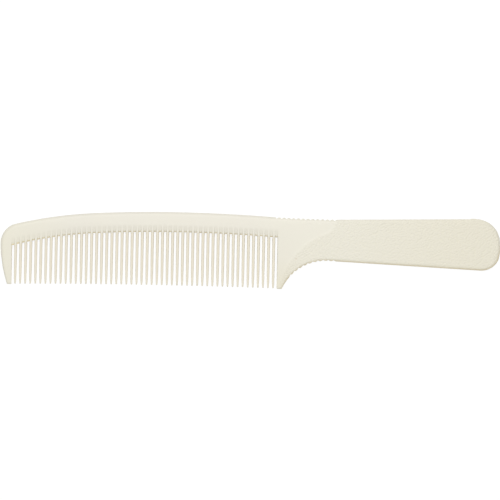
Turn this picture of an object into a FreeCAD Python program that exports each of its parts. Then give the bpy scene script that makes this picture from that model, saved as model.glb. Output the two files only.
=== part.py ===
"""One-piece handled grooming comb, built as a parametric FreeCAD document.

The comb lies flat.  While it is drawn, X runs from the tip end to the end of
the handle, Y from the points of the teeth to the back, and Z through the
thickness, with Z = 0 in the middle.  The finished pieces are then placed so
that the origin is under the middle of the whole comb.

The real comb is a single moulding.  Here it is divided where its regions meet,
so that each region is a solid of its own: spine, teeth, the two end guards,
the neck with its finger grip, and the handle.
"""
import FreeCAD, Part
import math
import os

import Sketcher

SIZES = (
    # alias, millimetres (degrees for angles), what it is
    ("plate_thickness", 4.0, "thickness of the spine and the handle"),
    ("tip_thickness", 1.6, "thickness of the guards and teeth at their tips"),
    ("comb_width", 32.2, "from the guard tips to the crest of the spine"),
    ("spine_width", 8.6, "from the back down to the roots of the teeth"),
    ("crest_place", 74.0, "from the tip end to the crest"),
    ("crest_radius", 556.0, "back, on the tip side of the crest"),
    ("crest_reach", 33.6, "length of that arc, along the comb"),
    ("tip_side_radius", 188.0, "back, nearer the tip end"),
    ("heel_side_radius", 688.0, "back, on the handle side of the crest"),
    ("tip_corner_radius", 8.4, "rounded corner at the tip end"),
    ("guard_radius", 54.0, "outer edge of the tip guard"),
    ("row_start", 4.93, "from the tip end to the inner wall of the tip guard"),
    ("tooth_count", 52, "teeth between the guards"),
    ("tooth_pitch", 2.177, "from tooth to tooth"),
    ("tooth_width", 1.26, "at mid-thickness"),
    ("tooth_face_width", 0.80, "at the faces, after the draft of the flanks"),
    ("taper_length", 8.5, "over which a tooth narrows towards its tip"),
    ("point_length", 2.0, "last part of the tooth, narrowing faster"),
    ("point_width", 0.96, "where the point begins"),
    ("tip_round", 0.5, "length of the rounded tip"),
    ("tip_width", 0.75, "where the rounding begins"),
    ("tip_end_width", 0.38, "very end of a tooth"),
    ("tip_end_thickness", 0.96, "very end of a tooth"),
    ("tip_setback", 0.12, "first and last tooth tips behind the guard tips"),
    ("tip_arch", 0.55, "further setback in the middle of the row"),
    ("sill_rise", 2.6, "how far each gap runs up the faces of the spine"),
    ("sill_land", 0.24, "flat left at mid-thickness in the bottom of a gap"),
    ("heel_tip_width", 2.3, "heel guard, at its tip"),
    ("tip_guard_height", 17.9, "from its tip to where the spine begins"),
    ("heel_guard_height", 9.0, "from its tip to where the neck begins"),
    ("neck_length", 24.2, "from the last gap to where the handle begins"),
    ("notch_radius", 18.65, "finger notch behind the heel guard"),
    ("neck_radius", 277.0, "hollow in the back above the notch"),
    ("waist_width", 17.9, "narrowest part of the handle"),
    ("handle_reach", 95.95, "from the last gap to the end of the handle"),
    ("handle_top_angle", 1.245, "rise of the handle's upper edge"),
    ("handle_lower_angle", 2.56, "fall of the handle's lower edge"),
    ("handle_end_radius", 45.0, "end of the handle"),
    ("handle_end_drop", 10.7, "its middle below the upper edge at the waist"),
    ("upper_corner_radius", 9.5, "handle end, upper corner"),
    ("lower_corner_radius", 8.0, "handle end, lower corner"),
    ("edge_round", 1.0, "rounding of the long edges"),
    ("guard_tip_round", 0.45, "rounding of the guard tips seen from the face"),
    ("serration_depth", 0.35, "grooves of the finger grip"),
    ("serration_radius", 0.6, "of the round that their flat sides keep to"),
    ("serration_height", 1.8, "through the wall between the round-overs"),
    ("upper_serration_pitch", 2.09, "along the back"),
    ("upper_serration_count", 12, "on the back"),
    ("lower_serration_pitch", 2.35, "along the notch"),
    ("lower_serration_count", 10, "in the notch"),
)

OVERRUN = 1.0        # how far a cutting tool or region passes what it cuts
TOOL_FOOT = 0.4      # the gap tool's, below the roots
TOOL_SPAN = 1.25     # the gap tool's thickness, as a share of the plate's
GROOVE_SIDES = 8     # of the tool that cuts the finger grip
TOLERANCE = 1e-4

GAP = "(Sizes.tooth_pitch - Sizes.tooth_width)"
ROW_END = f"(Sizes.row_start + Sizes.tooth_count * Sizes.tooth_pitch + {GAP})"
LENGTH = f"({ROW_END} + Sizes.handle_reach)"
FULL_HEIGHT = "(Sizes.comb_width - Sizes.spine_width + Sizes.sill_rise)"


# ---------------------------------------------------------------- document

def make_sheet(doc):
    """Add the spreadsheet of driving dimensions."""
    sheet = doc.addObject("Spreadsheet::Sheet", "Sizes")
    for row, (alias, value, note) in enumerate(SIZES, start=1):
        sheet.set(f"A{row}", alias)
        sheet.set(f"B{row}", str(value))
        sheet.setAlias(f"B{row}", alias)
        sheet.set(f"C{row}", note)
    doc.recompute()
    return sheet


def bind(obj, **expressions):
    """Bind properties to expressions, with __ in a keyword for a dot."""
    for name, expression in expressions.items():
        obj.setExpression(name.replace("__", "."), expression)


# ---------------------------------------------------------------- geometry

def vec(x, y, z=0.0):
    return FreeCAD.Vector(x, y, z)


def towards(start, end, distance):
    """The point at a distance from start on the line through end."""
    return start + (end - start).normalize() * distance


def turned(degrees):
    """Unit vector at an angle to X."""
    return vec(math.cos(math.radians(degrees)), math.sin(math.radians(degrees)))


def on_circle(centre, radius, x):
    """The upper point of a circle at a place along X."""
    return vec(x, centre.y + math.sqrt(radius ** 2 - (x - centre.x) ** 2))


def corner_centre(line_point, direction, inward, radius, end_centre, reach):
    """Centre of an arc that touches a line and lies reach from end_centre."""
    start = line_point + inward * radius - end_centre
    along = start.dot(direction)
    return (start + end_centre
            + direction * (math.sqrt(along ** 2 - start.dot(start) + reach ** 2)
                           - along))


class Line:
    """Straight piece of an outline."""

    def __init__(self, start, end):
        self.start, self.end = start, end

    def ends(self):
        """A sketch's numbers for its first and last points."""
        return (1, 2)

    def geometry(self):
        return Part.LineSegment(self.start, self.end)


class Arc:
    """Round piece of an outline, run clockwise unless hollow is set."""

    def __init__(self, centre, radius, start, end, size, hollow=False):
        self.centre, self.radius, self.size = centre, radius, size
        self.start, self.end, self.hollow = start, end, hollow

    def ends(self):
        """A sketch counts an arc's points anticlockwise."""
        return (1, 2) if self.hollow else (2, 1)

    def angle(self, point):
        return math.atan2(point.y - self.centre.y, point.x - self.centre.x)

    def geometry(self):
        circle = Part.Circle(self.centre, vec(0, 0, 1), self.radius)
        first, last = self.angle(self.start), self.angle(self.end)
        if not self.hollow:
            first, last = last, first
        if last < first:
            last += 2 * math.pi
        return Part.ArcOfCircle(circle, first, last)


class Outline:
    """Places worked out from the sheet, shared by the sketches and arrays."""

    def __init__(self, sizes):
        s = sizes
        self.gap = s.tooth_pitch - s.tooth_width
        self.row_end = s.row_start + s.tooth_count * s.tooth_pitch + self.gap
        self.length = self.row_end + s.handle_reach

        self.crest = vec(s.crest_place, s.comb_width)
        self.crest_centre = self.crest - vec(0, s.crest_radius)
        self.heel_centre = self.crest - vec(0, s.heel_side_radius)
        self.change = on_circle(self.crest_centre, s.crest_radius,
                                s.crest_place - s.crest_reach)
        self.tip_centre = towards(self.change, self.crest_centre,
                                  s.tip_side_radius)
        reach = s.tip_side_radius - s.tip_corner_radius
        self.corner_centre = on_circle(self.tip_centre, reach,
                                       s.tip_corner_radius)
        self.corner_top = towards(self.tip_centre, self.corner_centre,
                                  s.tip_side_radius)
        self.bulge = vec(0, self.corner_centre.y)
        self.guard_centre = self.bulge + vec(s.guard_radius, 0)
        half_chord = math.sqrt(s.guard_radius ** 2 - self.bulge.y ** 2)
        self.guard_tip = vec(s.guard_radius - half_chord, 0)

        self.heel_top = on_circle(self.heel_centre, s.heel_side_radius,
                                  self.row_end)
        self.neck_centre = towards(
            self.heel_centre, self.heel_top, s.heel_side_radius + s.neck_radius)
        upper = turned(s.handle_top_angle)
        lower = turned(-s.handle_lower_angle)
        upper_in = vec(upper.y, -upper.x)
        lower_in = vec(-lower.y, lower.x)
        self.waist = self.neck_centre + upper_in * s.neck_radius

        self.end_centre = vec(self.length - s.handle_end_radius,
                              self.waist.y - s.handle_end_drop)
        radius = s.upper_corner_radius
        self.upper_corner = corner_centre(
            self.waist, upper, upper_in, radius, self.end_centre,
            s.handle_end_radius - radius)
        self.upper_start = self.upper_corner - upper_in * radius
        self.upper_end = towards(self.end_centre, self.upper_corner,
                                 s.handle_end_radius)

        below = self.waist - lower_in * s.waist_width
        radius = s.lower_corner_radius
        self.lower_corner = corner_centre(
            below, lower, lower_in, radius, self.end_centre,
            s.handle_end_radius - radius)
        self.lower_start = self.lower_corner - lower_in * radius
        self.lower_end = towards(self.end_centre, self.lower_corner,
                                 s.handle_end_radius)

        self.heel_tip = vec(self.row_end + s.heel_tip_width, 0)
        self.notch_centre = corner_centre(
            below, lower, -lower_in, s.notch_radius, self.heel_tip,
            s.notch_radius)
        self.notch_start = self.notch_centre + lower_in * s.notch_radius

    def root(self, sizes, x):
        """Height of the roots at a place along the row."""
        change = towards(self.crest_centre, self.change,
                         sizes.crest_radius - sizes.spine_width)
        if x > self.crest.x:
            centre, radius = self.heel_centre, sizes.heel_side_radius
        elif x > change.x:
            centre, radius = self.crest_centre, sizes.crest_radius
        else:
            centre, radius = self.tip_centre, sizes.tip_side_radius
        return on_circle(centre, radius - sizes.spine_width, x).y


# ---------------------------------------------------------------- sketches

def add_chain(sketch, pieces, sharp):
    """Add a closed chain, tangent at each joint but those named in sharp."""
    first = sketch.GeometryCount
    for piece in pieces:
        sketch.addGeometry(piece.geometry(), False)
    for index, piece in enumerate(pieces):
        after = (index + 1) % len(pieces)
        kind = "Coincident" if index in sharp else "Tangent"
        sketch.addConstraint(Sketcher.Constraint(
            kind, first + index, piece.ends()[1],
            first + after, pieces[after].ends()[0]))
    for index, piece in enumerate(pieces):
        if isinstance(piece, Arc):
            constrain(sketch, piece.size, "Radius", first + index)


def constrain(sketch, expression, kind, *where):
    """Add a constraint whose value is an expression."""
    value = sketch.evalExpression(expression)
    number = getattr(value, "Value", value)
    index = sketch.addConstraint(Sketcher.Constraint(kind, *where, number))
    sketch.setExpression(f"Constraints[{index}]", expression)


def place_point(sketch, geometry, point, x=None, y=None):
    """Hold a point at an X or Y that is an expression; "0" is on the axis."""
    for kind, expression, axis in (("DistanceX", x, -2), ("DistanceY", y, -1)):
        if expression == "0":
            sketch.addConstraint(Sketcher.Constraint(
                "PointOnObject", geometry, point, axis))
        elif expression is not None:
            constrain(sketch, expression, kind, -1, 1, geometry, point)


def polygon_sketch(doc, name, corners, rotation=None, **placement):
    """A closed polygon whose corners are pairs of expressions."""
    sketch = doc.addObject("Sketcher::SketchObject", name)
    if rotation is not None:
        sketch.Placement = FreeCAD.Placement(vec(0, 0), rotation)
    bind(sketch, **placement)
    points = [vec(*(number(sketch, e) for e in corner)) for corner in corners]
    pieces = [Line(points[i], points[(i + 1) % len(points)])
              for i in range(len(points))]
    add_chain(sketch, pieces, range(len(pieces)))
    for index, (x, y) in enumerate(corners):
        place_point(sketch, index, 1, x, y)
    return sketch


def number(obj, expression):
    value = obj.evalExpression(expression)
    return getattr(value, "Value", value)


def outline_sketch(doc, o):
    """The whole comb seen from its face, with the tooth row closed."""
    sketch = doc.addObject("Sketcher::SketchObject", "comb_outline")
    pieces = [
        Line(o.heel_tip, o.guard_tip),
        Arc(o.guard_centre, (o.guard_centre - o.bulge).Length,
            o.guard_tip, o.bulge, "Sizes.guard_radius"),
        Arc(o.corner_centre, o.corner_centre.x, o.bulge, o.corner_top,
            "Sizes.tip_corner_radius"),
        Arc(o.tip_centre, (o.tip_centre - o.change).Length, o.corner_top,
            o.change, "Sizes.tip_side_radius"),
        Arc(o.crest_centre, (o.crest_centre - o.crest).Length, o.change,
            o.crest, "Sizes.crest_radius"),
        Arc(o.heel_centre, (o.heel_centre - o.crest).Length, o.crest,
            o.heel_top, "Sizes.heel_side_radius"),
        Arc(o.neck_centre, (o.neck_centre - o.waist).Length, o.heel_top,
            o.waist, "Sizes.neck_radius", hollow=True),
        Line(o.waist, o.upper_start),
        Arc(o.upper_corner, (o.upper_corner - o.upper_start).Length,
            o.upper_start, o.upper_end, "Sizes.upper_corner_radius"),
        Arc(o.end_centre, (o.end_centre - o.upper_end).Length, o.upper_end,
            o.lower_end, "Sizes.handle_end_radius"),
        Arc(o.lower_corner, (o.lower_corner - o.lower_start).Length,
            o.lower_end, o.lower_start, "Sizes.lower_corner_radius"),
        Line(o.lower_start, o.notch_start),
        Arc(o.notch_centre, (o.notch_centre - o.notch_start).Length,
            o.notch_start, o.heel_tip, "Sizes.notch_radius", hollow=True),
    ]
    (tips, guard, corner, tip_side, crest, heel_side, neck, upper, _, end, _,
     lower, notch) = range(len(pieces))
    add_chain(sketch, pieces, sharp=(tips, notch))
    place_point(sketch, tips, 1, f"{ROW_END} + Sizes.heel_tip_width", "0")
    place_point(sketch, tips, 2, y="0")
    place_point(sketch, guard, 1, x="0")
    sketch.addConstraint(Sketcher.Constraint("Horizontal", corner, 3, guard, 1))
    place_point(sketch, tip_side, 1, x="Sizes.crest_place - Sizes.crest_reach")
    place_point(sketch, crest, 1, "Sizes.crest_place", "Sizes.comb_width")
    place_point(sketch, crest, 3, x="Sizes.crest_place")
    place_point(sketch, heel_side, 1, x=ROW_END)
    place_point(sketch, end, 3, f"{LENGTH} - Sizes.handle_end_radius")
    constrain(sketch, "Sizes.handle_end_drop", "DistanceY", end, 3, neck, 2)
    constrain(sketch, "Sizes.handle_top_angle * 1 deg", "Angle", upper)
    constrain(sketch, "180 deg - Sizes.handle_lower_angle * 1 deg",
              "Angle", lower)
    constrain(sketch, "Sizes.waist_width", "Distance", neck, 2, lower)
    return sketch


def window_sketch(doc, o, sizes):
    """The space of the tooth row: its top is the line of the roots."""
    inner = {"tip": sizes.tip_side_radius, "crest": sizes.crest_radius,
             "heel": sizes.heel_side_radius}
    inner = {key: value - sizes.spine_width for key, value in inner.items()}
    left = vec(sizes.row_start, o.root(sizes, sizes.row_start))
    right = vec(o.row_end, o.root(sizes, o.row_end))
    change = towards(o.crest_centre, o.change, inner["crest"])
    top = o.crest - vec(0, sizes.spine_width)
    low_left, low_right = vec(left.x, -OVERRUN), vec(right.x, -OVERRUN)
    pieces = [
        Line(low_left, left),
        Arc(o.tip_centre, inner["tip"], left, change,
            "Sizes.tip_side_radius - Sizes.spine_width"),
        Arc(o.crest_centre, inner["crest"], change, top,
            "Sizes.crest_radius - Sizes.spine_width"),
        Arc(o.heel_centre, inner["heel"], top, right,
            "Sizes.heel_side_radius - Sizes.spine_width"),
        Line(right, low_right),
        Line(low_right, low_left),
    ]
    wall, tip_side, crest, heel_side, far_wall, floor = range(len(pieces))
    sketch = doc.addObject("Sketcher::SketchObject", "tooth_row_outline")
    add_chain(sketch, pieces, sharp=(wall, heel_side, far_wall, floor))
    place_point(sketch, wall, 1, "Sizes.row_start", f"-{OVERRUN}")
    place_point(sketch, wall, 2, x="Sizes.row_start")
    place_point(sketch, far_wall, 1, x=ROW_END)
    place_point(sketch, far_wall, 2, ROW_END, f"-{OVERRUN}")
    place_point(sketch, crest, 3, "Sizes.crest_place",
                "Sizes.comb_width - Sizes.crest_radius")
    place_point(sketch, crest, 1, x="Sizes.crest_place")
    place_point(sketch, tip_side, 1, x=(
        "Sizes.crest_place - Sizes.crest_reach"
        " * (1 - Sizes.spine_width / Sizes.crest_radius)"))
    return sketch


# ---------------------------------------------------------------- solids

def extrude(doc, name, sketch, overrun=0.0):
    """A solid of a sketch through the whole thickness, about its middle."""
    solid = doc.addObject("Part::Extrusion", name)
    solid.Base = sketch
    solid.DirMode = "Custom"
    solid.Dir = vec(0, 0, 1)
    solid.Solid = True
    solid.Symmetric = True
    bind(solid, LengthFwd=f"Sizes.plate_thickness + {2 * overrun}")
    return solid


def side(a, b, c, d):
    """The face between four corners: flat where they allow it."""
    if abs((b - a).cross(c - a).dot(d - a)) < TOLERANCE:
        return Part.Face(Part.makePolygon([a, b, c, d, a]))
    return Part.makeRuledSurface(Part.makeLine(a, b), Part.makeLine(d, c))


def skin(doc, name, sections):
    """A solid over the corners of its sections, in flat faces if it can."""
    doc.recompute()
    rings = [[vertex.Point for vertex in sketch.Shape.OrderedVertexes]
             for sketch in sections]
    faces = [Part.Face(Part.makePolygon(ring + ring[:1]))
             for ring in (rings[0], rings[-1])]
    for ring, following in zip(rings, rings[1:]):
        for i, corner in enumerate(ring):
            j = (i + 1) % len(ring)
            faces.append(side(corner, ring[j], following[j], following[i]))
    solid = doc.addObject("Part::Feature", name)
    shell = Part.makeShell(faces)
    shell.sewShape()
    solid.Shape = Part.makeSolid(shell)
    return solid


def thickness_envelope(doc):
    """Wedge over the teeth, turning into the even plate of the handle."""
    across = FreeCAD.Rotation(vec(0, 1, 0), vec(0, 0, 1), vec(1, 0, 0), "ZXY")
    top = f"Sizes.comb_width + {OVERRUN}"
    plate, tip = "Sizes.plate_thickness / 2", "Sizes.tip_thickness / 2"
    head = [("0", f"-{tip}"), ("0", tip), (FULL_HEIGHT, plate), (top, plate),
            (top, f"-({plate})"), (FULL_HEIGHT, f"-({plate})")]
    handle = [("0", f"-({plate})"), ("0", plate)] + head[2:]
    stations = (("tip_end", f"-{OVERRUN}", head),
                ("row_end", ROW_END, head),
                ("waist", f"{ROW_END} + Sizes.notch_radius", handle),
                ("handle_end", f"{LENGTH} + {OVERRUN}", handle))
    sections = []
    for name, place, corners in stations:
        sections.append(polygon_sketch(
            doc, f"section_at_{name}", corners, across,
            Placement__Base__x=place))
    return skin(doc, "thickness_envelope", sections)


def middle_of(edge):
    return edge.valueAt((edge.FirstParameter + edge.LastParameter) / 2)


def is_upright(edge):
    ends = [vertex.Point for vertex in edge.Vertexes]
    return (ends[0] - ends[-1]).cross(vec(0, 0, 1)).Length < TOLERANCE


def fillet(doc, name, base, edges):
    """Round edges given as number, first radius and last radius."""
    rounded = doc.addObject("Part::Fillet", name)
    rounded.Base = base
    rounded.Edges = edges
    return rounded


def round_guard_tips(doc, blank, o, sizes):
    """Round the outer corner of each guard's tip, seen from the face."""
    corners = [index for index, edge in enumerate(blank.Shape.Edges, start=1)
               if is_upright(edge)
               and any((vec(edge.Vertexes[0].X, edge.Vertexes[0].Y) - corner)
                       .Length < TOLERANCE
                       for corner in (o.guard_tip, o.heel_tip))]
    radius = sizes.guard_tip_round
    return fillet(doc, "rounded_guard_tips", blank,
                  [(index, radius, radius) for index in corners])


def round_long_edges(doc, blank, sizes):
    """Round the edges of both faces, apart from the closed tooth row's."""
    radius = sizes.edge_round
    edges = [(index, radius, radius)
             for index, edge in enumerate(blank.Shape.Edges, start=1)
             if not is_upright(edge) and middle_of(edge).y > TOLERANCE]
    return fillet(doc, "rounded_plate", blank, edges)


def sill_cutter(doc):
    """Tool for one gap: drafted walls and a bottom that slopes to each face."""
    half_gap = f"{GAP} / 2"
    draft = "(Sizes.tooth_width - Sizes.tooth_face_width) / 2"
    land = "Sizes.sill_rise * Sizes.sill_land / Sizes.plate_thickness"
    middle = (half_gap, f"-{land}")
    face = (f"({half_gap} + {draft} * {TOOL_SPAN})",
            f"(Sizes.sill_rise * {TOOL_SPAN} - {land})")
    foot = f"-{TOOL_FOOT}"
    sections = []
    for name, sign, (half, top) in (("lower", -1, face), ("middle", 0, middle),
                                    ("upper", 1, face)):
        corners = [(f"-({half})", foot), (half, foot), (half, top),
                   (f"-({half})", top)]
        sections.append(polygon_sketch(
            doc, f"gap_section_{name}", corners, FreeCAD.Rotation(),
            Placement__Base__z=f"{sign * TOOL_SPAN} * Sizes.plate_thickness / 2"))
    return skin(doc, "gap_tool", sections)


def tooth_blank(doc):
    """One tooth, longer than any in the row, with its tip at Y = 0."""
    draft = ("(Sizes.tooth_width - Sizes.tooth_face_width)"
             " / Sizes.plate_thickness")
    taper = ("(Sizes.tip_thickness + (Sizes.plate_thickness"
             f" - Sizes.tip_thickness) * {{}} / {FULL_HEIGHT})")
    stations = (
        ("tip", "0", "Sizes.tip_end_width", "Sizes.tip_end_thickness"),
        ("round", "Sizes.tip_round", "Sizes.tip_width", "Sizes.tip_thickness"),
        ("point", "Sizes.point_length", "Sizes.point_width", None),
        ("shank", "Sizes.taper_length", "Sizes.tooth_width", None),
        ("root", FULL_HEIGHT, "Sizes.tooth_width", None),
    )
    upright = FreeCAD.Rotation(vec(1, 0, 0), vec(0, 0, 1), vec(0, -1, 0), "ZXY")
    sections = []
    for name, place, width, thickness in stations:
        thickness = thickness or taper.format(place)
        half, rim = f"{width} / 2", f"{thickness} / 2"
        face = f"({half} - {draft} * {rim})"
        corners = [(half, "0"), (face, rim), (f"-{face}", rim),
                   (f"-({half})", "0"), (f"-{face}", f"-({rim})"),
                   (face, f"-({rim})")]
        sections.append(polygon_sketch(
            doc, f"tooth_section_{name}", corners, upright,
            Placement__Base__y=place))
    return skin(doc, "tooth_blank", sections)


def array(doc, name, tool, places):
    """Copies of a solid at places that follow a curve."""
    row = doc.addObject("Part::Feature", name)
    row.Shape = Part.makeCompound(
        [tool.Shape.translated(place) for place in places])
    return row


def along_arc(arc_centre, start, pitch, count, step_back):
    """Places beside an arc, from its start and inside it by step_back."""
    radius = (start - arc_centre).Length
    first = math.atan2(start.y - arc_centre.y, start.x - arc_centre.x)
    inner = radius - step_back
    turn = math.copysign(pitch / radius, first)
    return [arc_centre + vec(math.cos(first + turn * (i + 0.5)),
                             math.sin(first + turn * (i + 0.5))) * inner
            for i in range(count)]


def gap_places(o, sizes):
    """The middle of each gap, at its root."""
    places = []
    for index in range(int(sizes.tooth_count) + 1):
        x = sizes.row_start + o.gap / 2 + index * sizes.tooth_pitch
        places.append(vec(x, o.root(sizes, x)))
    return places


def tooth_places(o, sizes):
    """The tip of each tooth, on the shallow arch of the row."""
    middle = (sizes.row_start + o.row_end) / 2
    places = []
    for index in range(int(sizes.tooth_count)):
        x = sizes.row_start + o.gap / 2 + (index + 0.5) * sizes.tooth_pitch
        share = (x - middle) / (o.row_end - middle)
        places.append(vec(
            x, sizes.tip_setback + sizes.tip_arch * (1 - share ** 2)))
    return places


def serration_places(o, sizes):
    """Grooves across the edges, above and below the neck."""
    stand_off = sizes.serration_radius - sizes.serration_depth
    return (along_arc(o.neck_centre, o.waist, sizes.upper_serration_pitch,
                      int(sizes.upper_serration_count), stand_off)
            + along_arc(o.notch_centre, o.notch_start,
                        sizes.lower_serration_pitch,
                        int(sizes.lower_serration_count), stand_off))


def combine(doc, kind, name, base, tool):
    """A boolean of two objects: Cut or Common."""
    result = doc.addObject(f"Part::{kind}", name)
    result.Base, result.Tool = base, tool
    return result


def region(doc, name, start, end, floor, ceiling):
    """A box across the comb between two places along and two across it."""
    box = doc.addObject("Part::Box", name)
    bind(box, Length=f"{end} - ({start})", Placement__Base__x=start,
         Width=f"{ceiling} - ({floor})", Placement__Base__y=floor,
         Height=f"Sizes.plate_thickness + {2 * OVERRUN}",
         Placement__Base__z=f"-Sizes.plate_thickness / 2 - {OVERRUN}")
    return box


def seat(obj, label):
    """Name a finished piece and stand it over the comb's own origin."""
    obj.Label = label
    bind(obj, Placement__Base__x=f"-{LENGTH} / 2",
         Placement__Base__y="-Sizes.comb_width / 2",
         Placement__Base__z="Sizes.plate_thickness / 2")
    return obj


def build(doc):
    """Make the whole comb and return its finished pieces."""
    sheet = make_sheet(doc)
    sizes = Sizes(sheet)
    o = Outline(sizes)

    window = extrude(doc, "tooth_row_space", window_sketch(doc, o, sizes),
                     OVERRUN)
    plate = extrude(doc, "comb_plate", outline_sketch(doc, o))
    doc.recompute()
    tips = round_guard_tips(doc, plate, o, sizes)
    doc.recompute()
    rounded = round_long_edges(doc, tips, sizes)
    shaped = combine(doc, "Common", "shaped_plate", rounded,
                     thickness_envelope(doc))
    frame = combine(doc, "Cut", "comb_frame", shaped, window)

    gap_tool, tooth = sill_cutter(doc), tooth_blank(doc)
    groove = doc.addObject("Part::Prism", "serration_tool")
    groove.Polygon = GROOVE_SIDES
    bind(groove, Circumradius="Sizes.serration_radius",
         Height="Sizes.serration_height",
         Placement__Base__z="-Sizes.serration_height / 2")
    doc.recompute()
    gaps = array(doc, "gap_tools", gap_tool, gap_places(o, sizes))
    grooves = array(doc, "serration_tools", groove, serration_places(o, sizes))
    notched = combine(doc, "Cut", "frame_with_gaps", frame, gaps)
    moulding = combine(doc, "Cut", "moulding", notched, grooves)

    row = array(doc, "tooth_row", tooth, tooth_places(o, sizes))
    teeth = combine(doc, "Common", "trimmed_teeth", row, window)
    pieces = divide(doc, moulding)
    pieces["teeth"] = teeth
    for label, piece in pieces.items():
        seat(piece, label)
    doc.recompute()
    return pieces


def divide(doc, moulding):
    """Divide the moulding, without its teeth, where its regions meet."""
    below, above = f"-{OVERRUN}", f"Sizes.comb_width + {OVERRUN}"
    last_gap = f"({ROW_END} - {GAP} / 2)"
    neck_end = f"({ROW_END} + Sizes.neck_length)"
    areas = {
        "tip_guard": (below, "Sizes.row_start",
                      below, "Sizes.tip_guard_height"),
        "heel_guard": (last_gap, neck_end,
                       below, "Sizes.heel_guard_height"),
        "neck": (last_gap, neck_end, "Sizes.heel_guard_height", above),
        "handle": (neck_end, f"{LENGTH} + {OVERRUN}", below, above),
    }
    boxes = [region(doc, f"{label}_region", *limits)
             for label, limits in areas.items()]
    pieces = {label: combine(doc, "Common", f"{label}_solid", moulding, box)
              for label, box in zip(areas, boxes)}
    rest = doc.addObject("Part::MultiFuse", "all_but_the_spine")
    rest.Shapes = boxes
    pieces["spine"] = combine(doc, "Cut", "spine_solid", moulding, rest)
    return pieces


class Sizes:
    """The driving dimensions, read from the sheet."""

    def __init__(self, sheet):
        for alias, _, _ in SIZES:
            setattr(self, alias, sheet.get(alias))


def check(doc, pieces):
    """Stop if anything in the document failed to compute."""
    failed = [obj.Label for obj in doc.Objects
              if "Invalid" in obj.State or "Error" in obj.State]
    failed += [label for label, piece in pieces.items()
               if piece.Shape.isNull() or not piece.Shape.isValid()]
    if failed:
        raise RuntimeError("failed: " + ", ".join(failed))


def main():
    doc = FreeCAD.newDocument("grooming_comb")
    pieces = build(doc)
    check(doc, pieces)
    os.makedirs("parts", exist_ok=True)
    for label, piece in pieces.items():
        piece.Shape.exportStep(f"parts/{label}.step")
        box = piece.Shape.optimalBoundingBox(False, False)
        print(f"{label}: {len(piece.Shape.Solids)} solid(s),"
              f" {piece.Shape.Volume:.1f} mm3, X {box.XMin:.2f} {box.XMax:.2f}"
              f" Y {box.YMin:.2f} {box.YMax:.2f} Z {box.ZMin:.2f} {box.ZMax:.2f}")


main()
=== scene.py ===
"""Finished look of a one-piece moulded grooming comb with a handle.

The comb is a single moulding, so it is modelled as one closed mesh.  A mould
in two halves leaves no undercuts: each half of the comb is a sheet of faces
lifted to the height that the moulding has at that place.  Every region of the
comb builds its own patches of that sheet from grid primitives.  The patches
are joined, their rim is carried down to the parting plane, and the other half
is mirrored.

Sizes are in millimetres on the maker's drawing, whose origin is the corner
below the tip guard, at mid-thickness.  Meshes and materials are in metres.
"""

import logging
import math
from dataclasses import dataclass, field, replace
from enum import Enum
from typing import Sequence

import bpy
import numpy as np
from bpy.types import (Material, Node, NodeSocket, NodeTree, Object,
                       World)
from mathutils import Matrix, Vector


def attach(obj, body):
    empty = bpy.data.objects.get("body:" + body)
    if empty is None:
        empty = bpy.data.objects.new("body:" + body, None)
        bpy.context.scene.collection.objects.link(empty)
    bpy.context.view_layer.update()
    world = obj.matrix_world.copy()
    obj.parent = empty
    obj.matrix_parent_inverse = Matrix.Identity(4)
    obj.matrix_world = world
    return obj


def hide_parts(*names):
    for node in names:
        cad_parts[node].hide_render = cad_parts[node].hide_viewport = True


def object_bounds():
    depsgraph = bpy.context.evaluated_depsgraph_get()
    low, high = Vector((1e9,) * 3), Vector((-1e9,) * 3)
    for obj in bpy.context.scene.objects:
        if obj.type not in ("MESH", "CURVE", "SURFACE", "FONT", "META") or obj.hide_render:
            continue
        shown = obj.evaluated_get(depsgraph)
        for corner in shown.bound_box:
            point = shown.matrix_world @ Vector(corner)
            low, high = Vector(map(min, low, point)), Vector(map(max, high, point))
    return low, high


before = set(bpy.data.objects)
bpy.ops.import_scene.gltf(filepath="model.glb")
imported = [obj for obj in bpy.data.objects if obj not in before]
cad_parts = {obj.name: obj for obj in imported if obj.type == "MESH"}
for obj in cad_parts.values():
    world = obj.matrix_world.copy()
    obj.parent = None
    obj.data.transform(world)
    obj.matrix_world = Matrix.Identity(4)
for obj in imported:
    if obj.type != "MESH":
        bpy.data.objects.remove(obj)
CAD_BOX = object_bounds()

LOG = logging.getLogger("comb")
MM = 0.001
TANGENT_MARGIN = 0.3
MERGE_REACH = 0.002 * MM
SMOOTH_UP_TO = 50.0
Points = np.ndarray
Stretch = tuple[float, float]


def along_comb(x: Points | float) -> Points | float:
    """Place along the comb in metres, from the one on the drawing."""
    return CAD_BOX[0].x + x * MM


def across_comb(y: Points | float) -> Points | float:
    """Place across the comb in metres, from the one on the drawing."""
    return CAD_BOX[0].y + y * MM


# ------------------------------------------------------------------ drawing

@dataclass(frozen=True)
class Arc:
    """Part of a circle, from one angle to another, both in degrees."""

    x: float
    y: float
    radius: float
    start: float
    end: float

    def at(self, share: Points) -> Points:
        """Find points along the arc.

        Args:
            share: shares of the way along, from 0 to 1.

        Returns:
            The point at each share.
        """
        angle = np.radians(self.start + (self.end - self.start) * share)
        return np.stack((self.x + self.radius * np.cos(angle),
                         self.y + self.radius * np.sin(angle)), -1)

    def depth(self, points: Points) -> Points:
        """How far inside the arc points lie.

        Args:
            points: places on the drawing.

        Returns:
            The distances, and infinity past the ends of the arc.
        """
        dx, dy = points[..., 0] - self.x, points[..., 1] - self.y
        turn = np.degrees(np.arctan2(dy, dx)) - self.start
        sweep = self.end - self.start
        turn = (turn * np.sign(sweep) + 90.0) % 360.0 - 90.0
        margin = math.degrees(TANGENT_MARGIN / self.radius)
        inside = (turn > -margin) & (turn < abs(sweep) + margin)
        depth = (np.hypot(dx, dy) - self.radius) * np.sign(sweep)
        return np.where(inside, depth, np.inf)


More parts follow.
